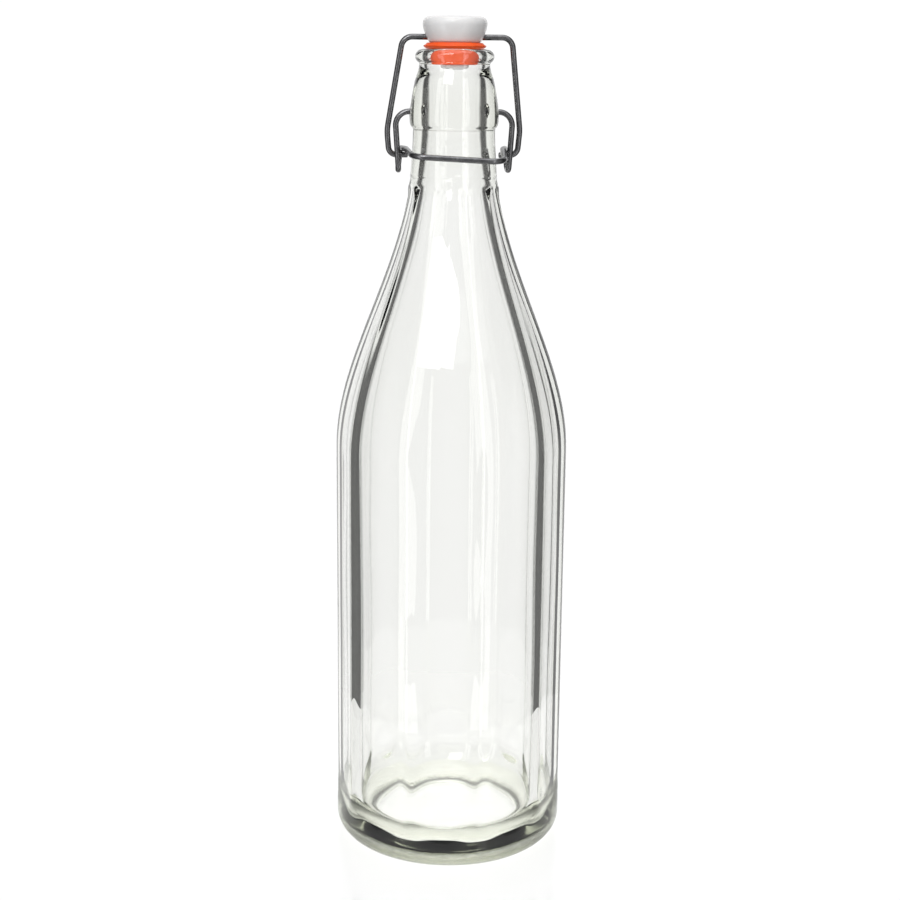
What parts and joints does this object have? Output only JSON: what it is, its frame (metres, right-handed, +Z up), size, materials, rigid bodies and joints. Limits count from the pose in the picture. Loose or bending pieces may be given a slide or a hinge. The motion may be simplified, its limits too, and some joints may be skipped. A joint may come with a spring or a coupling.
{
  "type": "swing-top bottle",
  "caption": "Tall clear glass bottle with a faceted body and a wire swing-top closure: a rubber-sealed stopper on a bail that a lever locks shut.",
  "frame": {"origin": "centre of the ring the bottle stands on", "axes": "+Z up the bottle's axis towards the stopper, -Y the side the lever's handle bar faces, X along the closure's hinges"},
  "size_m": [0.0896, 0.0896, 0.3184],
  "materials": {
    "glass": "clear, polished",
    "wire": "dark drawn wire, semi-gloss",
    "head": "white, semi-gloss",
    "seal": "orange, satin"
  },
  "bodies": {
    "glass": {"bottle": "glass"},
    "lever": {"lever_wire": "wire"},
    "bail": {"bail_wire": "wire"},
    "head": {"stopper": "head", "gasket": "seal"}
  },
  "joints": [
    {"name": "lever", "type": "hinge", "parent": "glass", "child": "lever", "pos_m": [0, 0, 0.2842], "axis": [1, 0, 0], "range_deg": [-170, 0]},
    {"name": "bail_swing", "type": "hinge", "parent": "lever", "child": "bail", "pos_m": [0, 0.0025, 0.2683], "axis": [1, 0, 0], "range_deg": [0, 113]},
    {"name": "head_turn", "type": "hinge", "parent": "bail", "child": "head", "pos_m": [0, 0, 0.311], "axis": [1, 0, 0], "range_deg": [0, 60]}
  ],
  "couplings": [
    {"joint": "bail_swing", "follows": "lever", "ratio": -0.655},
    {"joint": "head_turn", "follows": "lever", "ratio": -0.345}
  ]
}
